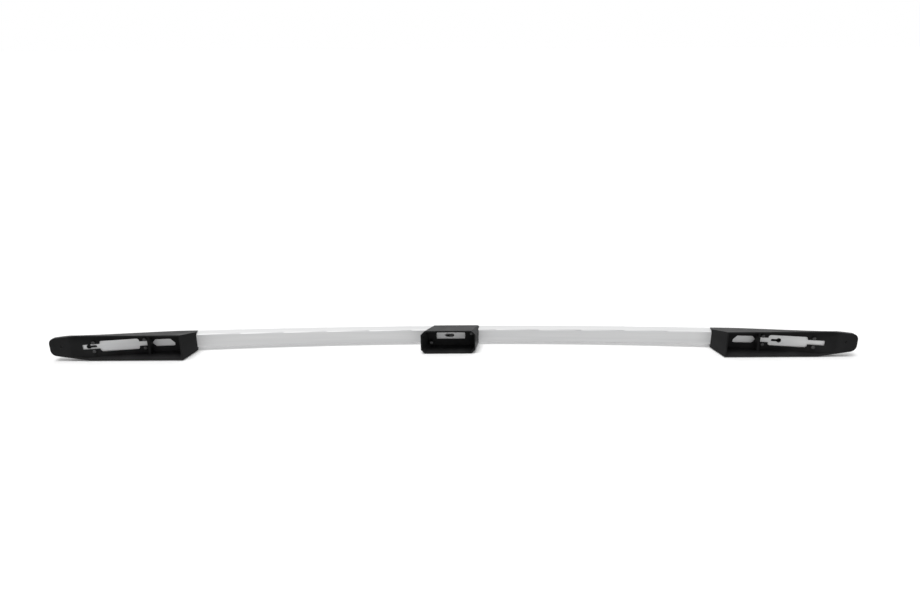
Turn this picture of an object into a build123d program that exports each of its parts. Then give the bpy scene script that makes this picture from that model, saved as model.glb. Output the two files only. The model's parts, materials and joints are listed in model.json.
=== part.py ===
from build123d import *
import os
from math import asin, cos, degrees, pi, radians, sin, sqrt, tan

# Roof rail: an arched aluminium extrusion on two moulded feet and a slanted centre support.
# Millimetres. X runs from front to rear, Z points up from the roof, and the feet's bases lie at
# z = 0. Distances named *_from_tip are measured along X from the tip of the foot.

# Whole rail
rail_span = 1900.0  # from the front tip to the rear tip
fit_gap = 0.25  # between pieces that seat on each other

# Extrusion section
section_w = 34.0
section_h = 33.0
section_wall = 2.2  # sides and top
floor_wall = 3.0  # underside wall, which runs on into the feet as a tongue
lower_edge_r = 2.5
upper_edge_r = 5.0
inner_edge_r = 1.0

# Arch of the extrusion and the bent tongues at its ends
arch_r = 8000.0  # radius of the underside
bend_from_tip = 240.0  # where a tongue starts to bend down
bend_r = 300.0
tongue_angle = 10.8  # slope of the straight stretch, in degrees
tongue_end_from_tip = 58.0
tongue_end_z = 5.3  # underside of the tongue's end over the roof
tongue_skim = 0.1  # milled off each face of the wall where it becomes a tongue

# Bolt openings in the extrusion's underside
key_head_d = 11.0
key_slot_w = 6.0
key_length = 23.0
front_key_from_tip = 81.0  # outer end of the keyhole
rear_key_from_tip = 167.0
centre_slot_l = 22.0
centre_slot_w = 8.5
centre_slot_x = -11.0

# Foot shell
foot_half_w = 31.0  # at the base
foot_wall = 3.0
mouth_from_tip = 328.0  # where the extrusion's full section ends, at its underside
mouth_angle = 14.0  # lean of the mouth beside the extrusion, in degrees towards the tip
heel_from_tip = 309.0  # inner end of the base
nose_z = 9.0  # height of the crown at the tip
crown_ease = 0.9  # under 1 the crown falls sooner
crown_edge_r = 9.0
crown_edge_share = 0.45  # of the crown's height, where the foot is too low for that radius
crown_stations = 8  # cross-sections that the crown is lofted through
nose_flank_a = 106.0  # length over which the straight side turns in, from the tip
nose_flank_b = 105.0
nose_half_a = 23.3  # half-widths of the blunt nose before its corners are rounded
nose_half_b = 17.5
flank_margin_a = 5.0  # how far outside the shell each flank line starts
flank_margin_b = 2.5
nose_corner_r = 15.0
nose_solid = 45.0  # solid length behind the tip
pocket_corner_r = 6.0
tip_hole_d = 5.0
tip_hole_from_tip = 28.0
tip_hole_y = -4.0

# Foot web under the tongue, its windows and ribs
web_t = 3.0
guide_t = 3.0
guide_h = 5.0
wide_window_w = 27.0
wide_window_l = 87.0
wide_window_from_tip = 110.0
neck_w = 12.4
outer_neck_l = 37.0
inner_neck_l = 24.0
cross_rib_t = 5.0
cross_rib_h = 14.0
eight_window_w = 18.0
eight_window_l = 52.0
eight_window_corner = 7.0  # by the cross rib
eight_window_long = 10.0  # by the heel, on the -Y side
eight_window_short = 3.0
wide_window_corner_r = 6.0

# Centre support
support_base_z = 26.0  # roof crown over the feet's base plane
support_base_front = -80.0
support_base_rear = 51.0
support_base_half_w = 29.0
support_base_corner = 10.0
support_cheek_h = 23.0  # how far the cheeks reach up the extrusion's sides
support_top_front = -55.0
support_top_rear = 65.0
support_cheek_t = 3.2
support_top_corner = 6.0
support_wall = 3.0
support_web_t = 4.0
support_window_l = 70.0
support_window_w = 17.5
support_window_x = -8.0
support_window_corner_r = 3.0
support_bolt_y = -2.5  # the slot and its window sit a little off the middle

# Screws that hold the mouldings to the extrusion
screw_d = 4.0
screw_hole_gap = 0.1
screw_head_d = 8.0
screw_head_h = 2.6
screw_head_r = 1.6
screw_tip_h = 2.0
screw_past = 1.5  # how far the point stands past the extrusion's wall
recess_w = 1.2
recess_l = 4.4
recess_depth = 1.2
boss_d = 10.0
foot_boss_h = 1.5
foot_screw_y = 11.0
foot_screw_gap = 12.0  # from each end of the wide window to the pair beside it
support_boss_h = 10.0
support_screw_y = 11.5
support_screw_front = -55.5
support_screw_rear = 42.0

# Sizes that follow
tip_x = rail_span / 2
mouth_x = tip_x - mouth_from_tip
heel_x = tip_x - heel_from_tip
bend_x = tip_x - bend_from_tip
tongue_end_x = tip_x - tongue_end_from_tip
tongue_w = section_w - 2 * lower_edge_r
void_h = section_h - floor_wall - section_wall
wide_window_end = wide_window_from_tip + wide_window_l
outer_neck_end = wide_window_from_tip - outer_neck_l
inner_neck_end = wide_window_end + inner_neck_l
reach = tip_x + section_h  # past the tip, for cutting tools


def arch_drop(x):
    """How far the arched underside has fallen at x below its crest."""
    return arch_r - sqrt(arch_r**2 - x**2)


# The tongue's end sets the height of the whole arch
bend_start = asin(bend_x / arch_r)
bend_end = radians(tongue_angle)
bend_end_x = bend_x + bend_r * (sin(bend_end) - sin(bend_start))
bend_end_z = tongue_end_z + (tongue_end_x - bend_end_x) * tan(bend_end)
bend_start_z = bend_end_z + bend_r * (cos(bend_start) - cos(bend_end))
bend_centre = (bend_x - bend_r * sin(bend_start), bend_start_z - bend_r * cos(bend_start))
crest_z = bend_start_z + arch_drop(bend_x)
arch_centre_z = crest_z - arch_r
arch_axis = Axis((0, 0, arch_centre_z), (0, 1, 0))
arch_end = asin((mouth_x + section_h) / (arch_r + section_h))  # past the mouth, which trims it
section_plane = Plane(
    origin=(-arch_r * sin(arch_end), 0, arch_centre_z + arch_r * cos(arch_end)),
    x_dir=(0, 1, 0),
    z_dir=(cos(arch_end), 0, sin(arch_end)),
)
tongue_plane = Plane(
    origin=(bend_end_x, 0, bend_end_z),
    x_dir=(cos(bend_end), 0, -sin(bend_end)),
    z_dir=(sin(bend_end), 0, cos(bend_end)),
)
front_tongue_plane = Plane(
    origin=(-bend_end_x, 0, bend_end_z),
    x_dir=(-cos(bend_end), 0, -sin(bend_end)),
    z_dir=(-sin(bend_end), 0, cos(bend_end)),
)

# The foot's crown is flush with the extrusion where they meet
mouth_floor_z = crest_z - arch_drop(mouth_x)
mouth_crown_z = mouth_floor_z + section_h
side_draft = (foot_half_w - section_w / 2) / mouth_crown_z
mouth_lean = tan(radians(mouth_angle))
heel_wall = foot_wall * sqrt(1 + ((heel_x - mouth_x) / mouth_floor_z) ** 2)

# The support's seat lies just under the arch
support_seat_z = crest_z - arch_drop(max(-support_top_front, support_top_rear)) - fit_gap
support_top_z = crest_z + support_cheek_h
support_top_half_w = section_w / 2 + fit_gap + support_cheek_t


def along_tongue(x):
    """Distance from the bend to x, measured along the tongue's straight stretch."""
    return (x - bend_end_x) / cos(bend_end)


def tongue_edge(lift, x_from, x_to):
    """Side-view line that runs lift above the tongue's underside; gives its two end points."""
    start = asin(x_from / arch_r)
    run = x_to - bend_end_x
    arch = CenterArc((0, arch_centre_z), arch_r + lift, 90 - degrees(start), degrees(start - bend_start))
    bend = CenterArc(bend_centre, bend_r + lift, 90 - degrees(bend_start), degrees(bend_start - bend_end))
    straight = Line(bend @ 1, bend @ 1 + Vector(run, -run * tan(bend_end)))
    return arch @ 0, straight @ 1


def tongue_band(low, high, x_to):
    """Side-view strip between two heights over the tongue's underside, from inside the arch to x_to."""
    with BuildSketch(Plane.XZ) as band:
        with BuildLine():
            low_start, low_end = tongue_edge(low, mouth_x - section_h, x_to)
            high_start, high_end = tongue_edge(high, mouth_x - section_h, x_to)
            Line(low_start, high_start)
            Line(low_end, high_end)
        make_face()
    return band.sketch


def keyhole(plane, outer_end):
    """Opening for a bolt's head, with a slot that runs from it towards the middle of the rail."""
    head = along_tongue(tip_x - outer_end) - key_head_d / 2
    slot_end = head + (key_head_d + key_slot_w) / 2 - key_length
    with BuildSketch(plane) as hole:
        with Locations((head, 0)):
            Circle(key_head_d / 2)
        with Locations(((head + slot_end) / 2, 0)):
            SlotCenterToCenter(head - slot_end, key_slot_w)
    return hole.sketch


def foot_crown(x):
    """Height of the foot's crown: an S-curve from the extrusion's top down to the nose."""
    share = ((x - mouth_x) / mouth_from_tip) ** crown_ease
    return nose_z + (mouth_crown_z - nose_z) * (1 + cos(pi * share)) / 2


def foot_section(x, inset):
    """Cross-section of the foot at x, taken in by inset at its sides and crown; it runs on below the base."""
    crown = foot_crown(x)
    edge_r = min(crown_edge_r, crown_edge_share * crown) - inset
    half_low = foot_half_w - inset + side_draft * foot_wall
    half_top = foot_half_w - inset - side_draft * (crown - inset)
    with BuildSketch(Plane(origin=(x, 0, 0), x_dir=(0, 1, 0), z_dir=(1, 0, 0))) as section:
        with BuildLine():
            Polyline(
                (-half_low, -foot_wall),
                (half_low, -foot_wall),
                (half_top, crown - inset),
                (-half_top, crown - inset),
                close=True,
            )
        make_face()
        fillet(section.vertices().group_by(Axis.Y)[-1], edge_r)
    return section.sketch


def foot_sections(x_from, x_to, inset):
    """Evenly spaced cross-sections to loft through."""
    step = (x_to - x_from) / (crown_stations - 1)
    return [foot_section(x_from + step * i, inset) for i in range(crown_stations)]


def past_mouth():
    """Side-view area past the leaning line at which the extrusion's full section ends."""
    end_x = mouth_x - fit_gap
    low_z = mouth_floor_z - section_h
    high_z = mouth_floor_z + 2 * section_h
    with BuildSketch(Plane.XZ) as area:
        with BuildLine():
            Polyline(
                (end_x - mouth_lean * section_h, low_z),
                (end_x + mouth_lean * 2 * section_h, high_z),
                (tip_x, high_z),
                (tip_x, low_z),
                close=True,
            )
        make_face()
    return area.sketch


def before_heel(shift):
    """Side-view area before the foot's inner end: the heel slopes up to the mouth, which leans back."""
    heel_lean = (heel_x - mouth_x) / mouth_floor_z
    high_z = mouth_floor_z + 2 * section_h
    with BuildSketch(Plane.XZ) as area:
        with BuildLine():
            Polyline(
                (heel_x + heel_lean * section_h + shift, -section_h),
                (mouth_x + shift, mouth_floor_z),
                (mouth_x + mouth_lean * 2 * section_h + shift, high_z),
                (mouth_x - section_h, high_z),
                (mouth_x - section_h, -section_h),
                close=True,
            )
        make_face()
    return area.sketch


def support_section(z, inset):
    """Eight-sided cross-section of the centre support at height z."""
    share = (z - support_base_z) / (support_top_z - support_base_z)
    front = support_base_front + (support_top_front - support_base_front) * share + inset
    rear = support_base_rear + (support_top_rear - support_base_rear) * share - inset
    half_w = support_base_half_w + (support_top_half_w - support_base_half_w) * share - inset
    corner = support_base_corner + (support_top_corner - support_base_corner) * share
    with BuildSketch(Plane.XY.offset(z)) as section:
        with Locations(((front + rear) / 2, 0)):
            block = Rectangle(rear - front, 2 * half_w)
        chamfer(block.vertices(), corner - inset * (2 - sqrt(2)))
    return section.sketch


def pan_screw(grip):
    """Pan-head screw with its head's seat at the origin and its shank up +Z."""
    shank_l = grip + screw_past
    with BuildPart() as screw:
        with BuildSketch(Plane.XZ) as half:
            with BuildLine():
                Polyline(
                    (0, -screw_head_h),
                    (screw_head_d / 2, -screw_head_h),
                    (screw_head_d / 2, 0),
                    (screw_d / 2, 0),
                    (screw_d / 2, shank_l - screw_tip_h),
                    (0, shank_l),
                    close=True,
                )
            make_face()
            fillet(half.vertices().group_by(Axis.Y)[0].sort_by(Axis.X)[-1], screw_head_r)
        revolve(axis=Axis.Z)
        with BuildSketch(Plane.XY.offset(-screw_head_h)):
            Rectangle(recess_l, recess_w)
            Rectangle(recess_w, recess_l)
        extrude(amount=recess_depth, mode=Mode.SUBTRACT)
    return screw.part


# Places of the screws
foot_screw_x = [
    tip_x - wide_window_end - foot_screw_gap,
    tip_x - wide_window_from_tip + foot_screw_gap,
]
foot_screw_spots = [(along_tongue(x), side * foot_screw_y) for x in foot_screw_x for side in (-1, 1)]
foot_screw_seat = -(fit_gap + web_t + foot_boss_h)
support_screw_spots = [(support_screw_front, support_screw_y), (support_screw_rear, -support_screw_y)]
support_screw_seat = support_seat_z - support_web_t - support_boss_h
screw_hole_r = screw_d / 2 + screw_hole_gap

# Extrusion: the arched hollow section, whose underside wall runs on as the two tongues
with BuildPart() as rail_profile:
    with BuildSketch(section_plane) as profile:
        with Locations((0, section_h / 2)):
            Rectangle(section_w, section_h)
        fillet(profile.vertices().group_by(Axis.Y)[0], lower_edge_r)
        fillet(profile.vertices().group_by(Axis.Y)[-1], upper_edge_r)
        with Locations((0, floor_wall + void_h / 2)):
            RectangleRounded(section_w - 2 * section_wall, void_h, inner_edge_r, mode=Mode.SUBTRACT)
    revolve(axis=arch_axis, revolution_arc=degrees(2 * arch_end))
    rear_trim = extrude(past_mouth(), amount=section_w, both=True, mode=Mode.PRIVATE)
    add([rear_trim, mirror(rear_trim, about=Plane.YZ, mode=Mode.PRIVATE)], mode=Mode.SUBTRACT)
    rear_tongue = extrude(
        tongue_band(tongue_skim, floor_wall - tongue_skim, tongue_end_x),
        amount=tongue_w / 2,
        both=True,
        mode=Mode.PRIVATE,
    )
    add([rear_tongue, mirror(rear_tongue, about=Plane.YZ, mode=Mode.PRIVATE)])
    # Bolt openings
    for plane, outer_end in ((front_tongue_plane, front_key_from_tip), (tongue_plane, rear_key_from_tip)):
        extrude(keyhole(plane, outer_end), amount=2 * floor_wall, both=True, mode=Mode.SUBTRACT)
        with BuildSketch(plane):
            with Locations(*foot_screw_spots):
                Circle(screw_hole_r)
        extrude(amount=2 * floor_wall, both=True, mode=Mode.SUBTRACT)
    with BuildSketch(Plane.XY.offset(crest_z)):
        with Locations((centre_slot_x, support_bolt_y)):
            SlotOverall(centre_slot_l, centre_slot_w)
        with Locations(*support_screw_spots):
            Circle(screw_hole_r)
    extrude(amount=2 * floor_wall, both=True, mode=Mode.SUBTRACT)

# Plan outlines of the foot's nose and of the hollow behind it
with BuildSketch() as nose_outline:
    with BuildLine():
        Polyline(
            (mouth_x - section_h, -foot_half_w - flank_margin_a),
            (tip_x - nose_flank_a, -foot_half_w - flank_margin_a),
            (tip_x, -nose_half_a),
            (tip_x, nose_half_b),
            (tip_x - nose_flank_b, foot_half_w + flank_margin_b),
            (mouth_x - section_h, foot_half_w + flank_margin_b),
            close=True,
        )
    make_face()
    fillet(nose_outline.vertices().group_by(Axis.X)[-1], nose_corner_r)
with BuildSketch() as hollow_outline:
    add(nose_outline.sketch)
    offset(amount=-foot_wall, mode=Mode.REPLACE)
    with Locations((tip_x, 0)):
        Rectangle(2 * nose_solid, 4 * foot_half_w, mode=Mode.SUBTRACT)
    fillet(hollow_outline.vertices().group_by(Axis.X)[-1], pocket_corner_r)

# Hollow of the foot, and the pieces of it below and above the web
with BuildPart() as foot_hollow:
    loft(foot_sections(mouth_x + foot_wall, tip_x - nose_solid + foot_wall, foot_wall))
    extrude(hollow_outline.sketch, amount=2 * mouth_crown_z, both=True, mode=Mode.INTERSECT)
    extrude(before_heel(heel_wall), amount=2 * foot_half_w, both=True, mode=Mode.SUBTRACT)
with BuildPart() as cross_rib:
    extrude(tongue_band(-(fit_gap + web_t + cross_rib_h), 0, reach), amount=2 * foot_half_w, both=True)
    with BuildSketch():
        with Locations((tip_x - inner_neck_end - cross_rib_t / 2, 0)):
            Rectangle(cross_rib_t, 4 * foot_half_w)
    extrude(amount=mouth_crown_z, mode=Mode.INTERSECT)
with BuildPart() as foot_pocket:
    add(foot_hollow.part)
    extrude(
        tongue_band(-mouth_crown_z, -(fit_gap + web_t), reach),
        amount=2 * foot_half_w,
        both=True,
        mode=Mode.INTERSECT,
    )
    add(cross_rib.part, mode=Mode.SUBTRACT)
    with BuildSketch(tongue_plane.offset(foot_screw_seat)):
        with Locations(*foot_screw_spots):
            Circle(boss_d / 2)
    extrude(amount=foot_boss_h + web_t, mode=Mode.SUBTRACT)
with BuildPart() as tongue_guides:
    guide_half = tongue_w / 2 + fit_gap
    extrude(tongue_band(-web_t, guide_h, reach), amount=guide_half + guide_t, both=True)
    extrude(
        tongue_band(-2 * web_t, 2 * guide_h, reach + web_t), amount=guide_half, both=True, mode=Mode.SUBTRACT
    )
with BuildPart() as foot_attic:
    add(foot_hollow.part)
    extrude(
        tongue_band(-fit_gap, mouth_crown_z, reach), amount=2 * foot_half_w, both=True, mode=Mode.INTERSECT
    )
    add(tongue_guides.part, mode=Mode.SUBTRACT)

# Windows in the web: a wide one with a neck at each end, and an eight-sided one by the heel
with BuildPart() as web_windows:
    with BuildSketch() as openings:
        with Locations((tip_x - inner_neck_end - cross_rib_t - eight_window_l / 2, 0)):
            Rectangle(eight_window_l, eight_window_w)
        heel_end, rib_end = openings.vertices().group_by(Axis.X)
        chamfer(rib_end, eight_window_corner)
        chamfer(heel_end.sort_by(Axis.Y)[0], eight_window_long)
        chamfer(heel_end.sort_by(Axis.Y)[-1], eight_window_short)
        with Locations((tip_x - (wide_window_end + wide_window_from_tip) / 2, 0)):
            RectangleRounded(wide_window_l, wide_window_w, wide_window_corner_r)
        with Locations((tip_x - (inner_neck_end + outer_neck_end) / 2, 0)):
            Rectangle(inner_neck_end - outer_neck_end, neck_w)
    extrude(amount=mouth_crown_z)
    extrude(
        tongue_band(-(fit_gap + 2 * web_t), web_t, reach),
        amount=2 * foot_half_w,
        both=True,
        mode=Mode.INTERSECT,
    )

# Feet: a drafted shell under an S-curved crown
with BuildPart() as rear_foot:
    loft(foot_sections(mouth_x, tip_x + foot_wall, 0))
    extrude(nose_outline.sketch, amount=2 * mouth_crown_z, mode=Mode.INTERSECT)
    extrude(before_heel(0), amount=2 * foot_half_w, both=True, mode=Mode.SUBTRACT)
    add([foot_pocket.part, foot_attic.part, web_windows.part], mode=Mode.SUBTRACT)
    extrude(
        tongue_band(-fit_gap, floor_wall + fit_gap, tongue_end_x + fit_gap),
        amount=tongue_w / 2 + fit_gap,
        both=True,
        mode=Mode.SUBTRACT,
    )
    with BuildSketch(tongue_plane.offset(foot_screw_seat)):
        with Locations(*foot_screw_spots):
            Circle(screw_hole_r)
    extrude(amount=foot_boss_h + 2 * web_t, mode=Mode.SUBTRACT)
    with BuildSketch():
        with Locations((tip_x - tip_hole_from_tip, tip_hole_y)):
            Circle(tip_hole_d / 2)
    extrude(amount=mouth_crown_z, mode=Mode.SUBTRACT)
with BuildPart() as front_foot:
    mirror(rear_foot.part, about=Plane.YZ)

# Centre support: a slanted eight-sided shell, open below, with cheeks beside the extrusion
with BuildPart() as centre_support:
    loft([support_section(support_base_z, 0), support_section(support_top_z, 0)], ruled=True)
    pocket_top_z = support_seat_z - support_web_t
    loft(
        [
            support_section(support_base_z - support_wall, support_wall),
            support_section(pocket_top_z, support_wall),
        ],
        ruled=True,
        mode=Mode.SUBTRACT,
    )
    with BuildSketch(Plane.XY.offset(support_seat_z)):
        Rectangle(rail_span, section_w + 2 * fit_gap)
    extrude(amount=2 * section_h, mode=Mode.SUBTRACT)
    with BuildSketch(Plane.XY.offset(support_screw_seat)):
        with Locations(*support_screw_spots):
            Circle(boss_d / 2)
    extrude(amount=support_boss_h + support_web_t / 2)
    with BuildSketch(Plane.XY.offset(support_screw_seat)):
        with Locations((support_window_x, support_bolt_y)):
            RectangleRounded(support_window_l, support_window_w, support_window_corner_r)
        with Locations(*support_screw_spots):
            Circle(screw_hole_r)
    extrude(amount=support_boss_h + 2 * support_web_t, mode=Mode.SUBTRACT)

pieces = {
    "rail_profile": rail_profile.part,
    "front_foot": front_foot.part,
    "rear_foot": rear_foot.part,
    "centre_support": centre_support.part,
}

# Screws, each driven up through its moulding into the extrusion's underside
foot_screw = pan_screw(foot_boss_h + web_t + fit_gap + floor_wall)
for number, (along, y) in enumerate(foot_screw_spots, start=1):
    with BuildPart() as rear_screw:
        with Locations(tongue_plane.location * Location((along, y, foot_screw_seat))):
            add(foot_screw)
    with BuildPart() as front_screw:
        mirror(rear_screw.part, about=Plane.YZ)
    pieces[f"rear_foot_screw_{number}"] = rear_screw.part
    pieces[f"front_foot_screw_{number}"] = front_screw.part
support_screw = pan_screw(crest_z - support_screw_seat + floor_wall)
for number, (x, y) in enumerate(support_screw_spots, start=1):
    with BuildPart() as centre_screw:
        with Locations((x, y, support_screw_seat)):
            add(support_screw)
    pieces[f"centre_support_screw_{number}"] = centre_screw.part

os.makedirs("parts", exist_ok=True)
for name, piece in pieces.items():
    piece.label = name
    export_step(piece, f"parts/{name}.step")
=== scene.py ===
import json
import math

import bpy
from mathutils import Matrix, Vector

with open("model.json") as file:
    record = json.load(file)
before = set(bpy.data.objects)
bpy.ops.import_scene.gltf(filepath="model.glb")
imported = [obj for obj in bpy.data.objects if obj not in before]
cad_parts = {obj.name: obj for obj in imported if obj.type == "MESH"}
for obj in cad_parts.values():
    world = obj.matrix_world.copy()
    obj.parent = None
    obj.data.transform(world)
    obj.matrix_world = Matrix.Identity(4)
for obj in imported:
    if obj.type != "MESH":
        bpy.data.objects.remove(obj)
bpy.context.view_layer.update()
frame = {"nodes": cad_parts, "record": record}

# Camera
IMAGE_WIDTH = 920
FOCAL_PIXELS = 640
SENSOR_WIDTH = 36.0
CAMERA_REACH = 100.0
CAMERA_PLACE = (0.0121, -0.5346, -1.4109)
CAMERA_PITCH = math.radians(17.2)  # from straight along +Z, towards +Y
CAMERA_YAW = math.radians(0.10)
CAMERA_ROLL = math.radians(-0.29)

# Floor that the rail lies on: it touches the support's base and the extrusion's top edge
FLOOR_Y = 0.0331  # where it meets the plane of the feet's bases
FLOOR_LEAN = math.atan(0.158)
FLOOR_HALF = 9.0
FLOOR_GLOW = 0.1
WHITE = (1, 1, 1, 1)
FLOOR_WHITE = (0.93, 0.93, 0.93, 1)

# White room: its brightness on matt faces, in reflections, and in reflections of its darker side,
# which is before the rail
ROOM_LIGHT = 0.16
GLOSS_LIGHT = 1.0
DIM_LIGHT = 0.45
DIM_FROM = (0.0, 0.1, -1.0)
DIM_CORE = math.cos(math.radians(5))
DIM_EDGE = math.cos(math.radians(32))

# Soft key lamp from above the floor, and a softer one that lifts the floor alone to a plain white
KEY_LIGHT = 1.35
KEY_SPREAD = math.radians(28)
KEY_FROM = (-0.22, -1.0, -0.24)
FLOOR_LIGHT = 1.6
FLOOR_SPREAD = math.radians(70)
FLOOR_FROM = (0.0, -1.0, -0.1)

# Extrusion's arch, which its drawn lines follow
ARCH_RADIUS = 8.0

# Texture of the finishes, in noise cells per metre: along, across and up where there are three
DRAWN_LINES = (2, 700, 700)
DRAWN_BANDS = (3, 90, 90)
ETCHED_GRAIN = 2600.0
MOULDED_GRAIN = 1400.0
FLOW_MARKS = 26.0
PLATING_PATCHES = 420.0
TURNING_MARKS = 2400.0
NOISE_LOW = 0.3  # most of a noise factor lies between these
NOISE_HIGH = 0.7
BAND_SHARE = 0.45  # of the broad bands in the extrusion's grey
EDGE_RADIUS = 0.0007  # of the moulding's softened edges


def new_material(name):
    """A material, its node tree and its Principled shader."""
    material = bpy.data.materials.new(name)
    material.use_nodes = True
    tree = material.node_tree
    return material, tree, tree.nodes["Principled BSDF"]


def set_inputs(tree, node, inputs):
    """Fill a node's sockets from (socket, value or output socket) pairs."""
    for socket, value in inputs:
        if isinstance(value, bpy.types.NodeSocket):
            tree.links.new(value, node.inputs[socket])
        else:
            node.inputs[socket].default_value = value


def add_node(tree, kind, inputs=(), **settings):
    """One node with its properties and its sockets set."""
    node = tree.nodes.new(kind)
    for name, value in settings.items():
        setattr(node, name, value)
    set_inputs(tree, node, inputs)
    return node


def arithmetic(tree, operation, *values):
    """Number output of one step of arithmetic."""
    return add_node(tree, "ShaderNodeMath", enumerate(values), operation=operation).outputs[0]


def scaled(tree, vector, factors):
    """Vector output with a factor for each axis."""
    inputs = [(0, vector), (1, factors)]
    return add_node(tree, "ShaderNodeVectorMath", inputs, operation="MULTIPLY").outputs["Vector"]


def noise(tree, vector, scale=1.0, detail=2.0, roughness=0.5):
    """Noise factor output."""
    inputs = [("Vector", vector), ("Scale", scale), ("Detail", detail), ("Roughness", roughness)]
    return add_node(tree, "ShaderNodeTexNoise", inputs).outputs["Fac"]


def grey_ramp(tree, factor, low, high):
    """Colour output that runs from one grey to another with a noise factor."""
    ramp = add_node(tree, "ShaderNodeValToRGB", [("Fac", factor)])
    stops = zip(ramp.color_ramp.elements, (NOISE_LOW, NOISE_HIGH), (low, high))
    for element, place, grey in stops:
        element.position = place
        element.color = (*grey, 1)
    return ramp.outputs["Color"]


def spread(tree, factor, low, high):
    """Number output that runs from low to high with a noise factor."""
    inputs = [
        ("Value", factor),
        ("From Min", NOISE_LOW),
        ("From Max", NOISE_HIGH),
        ("To Min", low),
        ("To Max", high),
    ]
    return add_node(tree, "ShaderNodeMapRange", inputs).outputs["Result"]


def bump(tree, height, strength, distance, normal=None):
    """Normal output raised by a height pattern, over another normal where one is given."""
    inputs = [("Height", height), ("Strength", strength), ("Distance", distance)]
    if normal is not None:
        inputs.append(("Normal", normal))
    return add_node(tree, "ShaderNodeBump", inputs).outputs["Normal"]


def place_in_part(tree):
    """Position in the part's own frame."""
    return add_node(tree, "ShaderNodeTexCoord").outputs["Object"]


def place_along_arch(tree):
    """Position in the part's own frame with the extrusion's arch laid straight."""
    xyz = add_node(tree, "ShaderNodeSeparateXYZ", [("Vector", place_in_part(tree))]).outputs
    square = arithmetic(tree, "MULTIPLY", xyz["X"], xyz["X"])
    height = arithmetic(tree, "MULTIPLY_ADD", square, 0.5 / ARCH_RADIUS, xyz["Z"])
    inputs = [("X", xyz["X"]), ("Y", xyz["Y"]), ("Z", height)]
    return add_node(tree, "ShaderNodeCombineXYZ", inputs).outputs["Vector"]


def anodised_aluminium():
    """Satin anodised extrusion with fine drawn lines that follow the arch."""
    material, tree, shader = new_material("anodised_aluminium")
    place = place_along_arch(tree)
    lines = noise(tree, scaled(tree, place, DRAWN_LINES), detail=4.0, roughness=0.65)
    bands = noise(tree, scaled(tree, place, DRAWN_BANDS))
    grain = noise(tree, place, ETCHED_GRAIN)
    mix = add_node(
        tree,
        "ShaderNodeMix",
        [("Factor", BAND_SHARE), ("A", lines), ("B", bands)],
        data_type="FLOAT",
    )
    grey = grey_ramp(tree, mix.outputs["Result"], low=(0.66, 0.665, 0.67), high=(0.78, 0.78, 0.78))
    drawn = bump(tree, lines, strength=0.12, distance=0.0002)
    etched = bump(tree, grain, strength=0.08, distance=0.0001, normal=drawn)
    set_inputs(
        tree,
        shader,
        [
            ("Base Color", grey),
            ("Roughness", spread(tree, lines, low=0.60, high=0.72)),
            ("Metallic", 1.0),
            ("Normal", etched),
        ],
    )
    return material


def black_moulding():
    """Black glass-filled plastic with a fine spark-eroded grain and faint flow marks."""
    material, tree, shader = new_material("black_moulding")
    place = place_in_part(tree)
    grain = noise(tree, place, MOULDED_GRAIN, detail=3.0, roughness=0.6)
    flow = noise(tree, place, FLOW_MARKS, detail=4.0)
    edge = add_node(tree, "ShaderNodeBevel", [("Radius", EDGE_RADIUS)], samples=6)
    eroded = bump(tree, grain, strength=0.25, distance=0.0002, normal=edge.outputs["Normal"])
    grey = grey_ramp(tree, flow, low=(0.026, 0.026, 0.027), high=(0.044, 0.044, 0.045))
    set_inputs(
        tree,
        shader,
        [
            ("Base Color", grey),
            ("Roughness", spread(tree, flow, low=0.42, high=0.58)),
            ("Specular IOR Level", 0.1),
            ("Normal", eroded),
        ],
    )
    return material


def screw_steel():
    """Black zinc-plated screw steel with fine turning marks and dull patches."""
    material, tree, shader = new_material("screw_steel")
    place = place_in_part(tree)
    patches = noise(tree, place, PLATING_PATCHES, detail=3.0)
    marks = noise(tree, place, TURNING_MARKS)
    grey = grey_ramp(tree, patches, low=(0.06, 0.06, 0.063), high=(0.14, 0.14, 0.14))
    set_inputs(
        tree,
        shader,
        [
            ("Base Color", grey),
            ("Roughness", spread(tree, patches, low=0.28, high=0.46)),
            ("Metallic", 1.0),
            ("Normal", bump(tree, marks, strength=0.15, distance=0.0001)),
        ],
    )
    return material


def floor_material():
    """White floor, seen only from the side that the rail lies on."""
    material, tree, shader = new_material("white_floor")
    set_inputs(
        tree,
        shader,
        [
            ("Base Color", FLOOR_WHITE),
            ("Roughness", 0.9),
            ("Specular IOR Level", 0.1),
            ("Emission Color", WHITE),
            ("Emission Strength", FLOOR_GLOW),
        ],
    )
    behind = add_node(tree, "ShaderNodeNewGeometry").outputs["Backfacing"]
    clear = add_node(tree, "ShaderNodeBsdfTransparent").outputs["BSDF"]
    sides = add_node(
        tree, "ShaderNodeMixShader", [(0, behind), (1, shader.outputs["BSDF"]), (2, clear)]
    )
    set_inputs(tree, tree.nodes["Material Output"], [("Surface", sides.outputs["Shader"])])
    return material


def soft_sun(name, strength, angle, source):
    """Sun lamp that shines from the side where source points."""
    lamp = bpy.data.objects.new(name, bpy.data.lights.new(name, "SUN"))
    lamp.data.energy = strength
    lamp.data.angle = angle
    lamp.rotation_euler = Vector(source).to_track_quat("Z", "Y").to_euler()
    bpy.context.scene.collection.objects.link(lamp)
    return lamp


# Finishes of the part's nodes
finishes = {
    "anodised_aluminium": anodised_aluminium(),
    "black_moulding": black_moulding(),
    "screw_steel": screw_steel(),
}
for subpart in frame["record"]["subparts"]:
    node = frame["nodes"][subpart["node"]]
    node.data.materials.clear()
    node.data.materials.append(finishes[subpart["material_slot"]])

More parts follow.
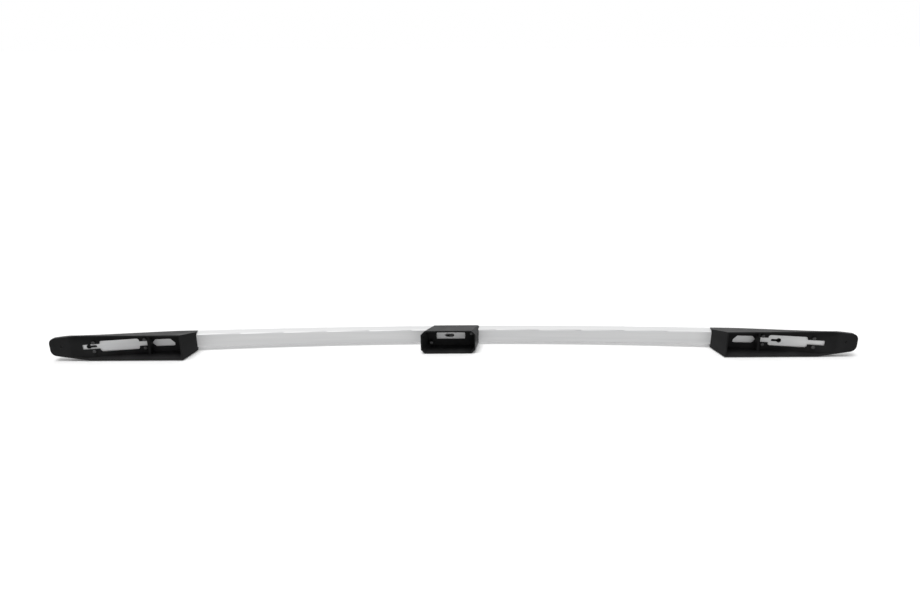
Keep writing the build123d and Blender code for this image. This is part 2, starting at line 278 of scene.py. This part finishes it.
# Floor
up_from_floor = Vector((0, -math.cos(FLOOR_LEAN), -math.sin(FLOOR_LEAN)))
along_floor = Vector((1, 0, 0))
across_floor = up_from_floor.cross(along_floor)
middle = Vector((0, FLOOR_Y, 0))
corners = [
    middle + FLOOR_HALF * (a * along_floor + b * across_floor)
    for a, b in ((-1, -1), (1, -1), (1, 1), (-1, 1))
]
floor_mesh = bpy.data.meshes.new("floor")
floor_mesh.from_pydata(corners, [], [(0, 1, 2, 3)])
floor = bpy.data.objects.new("floor", floor_mesh)
floor.data.materials.append(floor_material())
floor.visible_shadow = False
floor.visible_diffuse = False
floor.visible_glossy = False
bpy.context.scene.collection.objects.link(floor)

# White room, plain white where the camera sees it directly
world = bpy.data.worlds.new("room")
bpy.context.scene.world = world
world.use_nodes = True
room = world.node_tree
rays = add_node(room, "ShaderNodeLightPath").outputs
direction = add_node(room, "ShaderNodeTexCoord").outputs["Generated"]
before_rail = add_node(
    room,
    "ShaderNodeVectorMath",
    [(0, direction), (1, Vector(DIM_FROM).normalized())],
    operation="DOT_PRODUCT",
)
gloss = add_node(
    room,
    "ShaderNodeMapRange",
    [
        ("Value", before_rail.outputs["Value"]),
        ("From Min", DIM_EDGE),
        ("From Max", DIM_CORE),
        ("To Min", GLOSS_LIGHT),
        ("To Max", DIM_LIGHT),
    ],
    interpolation_type="SMOOTHSTEP",
)
mirrored = arithmetic(room, "MULTIPLY", rays["Is Glossy Ray"], gloss.outputs["Result"])
shown = arithmetic(room, "MAXIMUM", rays["Is Camera Ray"], mirrored)
level = arithmetic(room, "MAXIMUM", shown, ROOM_LIGHT)
set_inputs(room, room.nodes["Background"], [("Color", WHITE), ("Strength", level)])

# Lamps
soft_sun("key", KEY_LIGHT, KEY_SPREAD, KEY_FROM)
floor_lamp = soft_sun("floor_lamp", FLOOR_LIGHT, FLOOR_SPREAD, FLOOR_FROM)
lit_by_floor_lamp = bpy.data.collections.new("lit_by_floor_lamp")
lit_by_floor_lamp.objects.link(floor)
floor_lamp.light_linking.receiver_collection = lit_by_floor_lamp

# Camera: with no turn it looks along +Z with -Y up
camera = bpy.data.objects.new("camera", bpy.data.cameras.new("camera"))
camera.data.sensor_width = SENSOR_WIDTH
camera.data.lens = SENSOR_WIDTH * FOCAL_PIXELS / IMAGE_WIDTH
camera.data.clip_end = CAMERA_REACH
facing = Matrix.Rotation(math.pi, 3, "X")
yaw = Matrix.Rotation(-CAMERA_YAW, 3, "Y")
pitch = Matrix.Rotation(-CAMERA_PITCH, 3, "X")
roll = Matrix.Rotation(CAMERA_ROLL, 3, "Z")
turn = facing @ (yaw @ pitch @ roll)
camera.matrix_world = Matrix.Translation(CAMERA_PLACE) @ turn.to_4x4()
bpy.context.scene.collection.objects.link(camera)
bpy.context.scene.camera = camera

bpy.context.scene.view_settings.view_transform = "Standard"
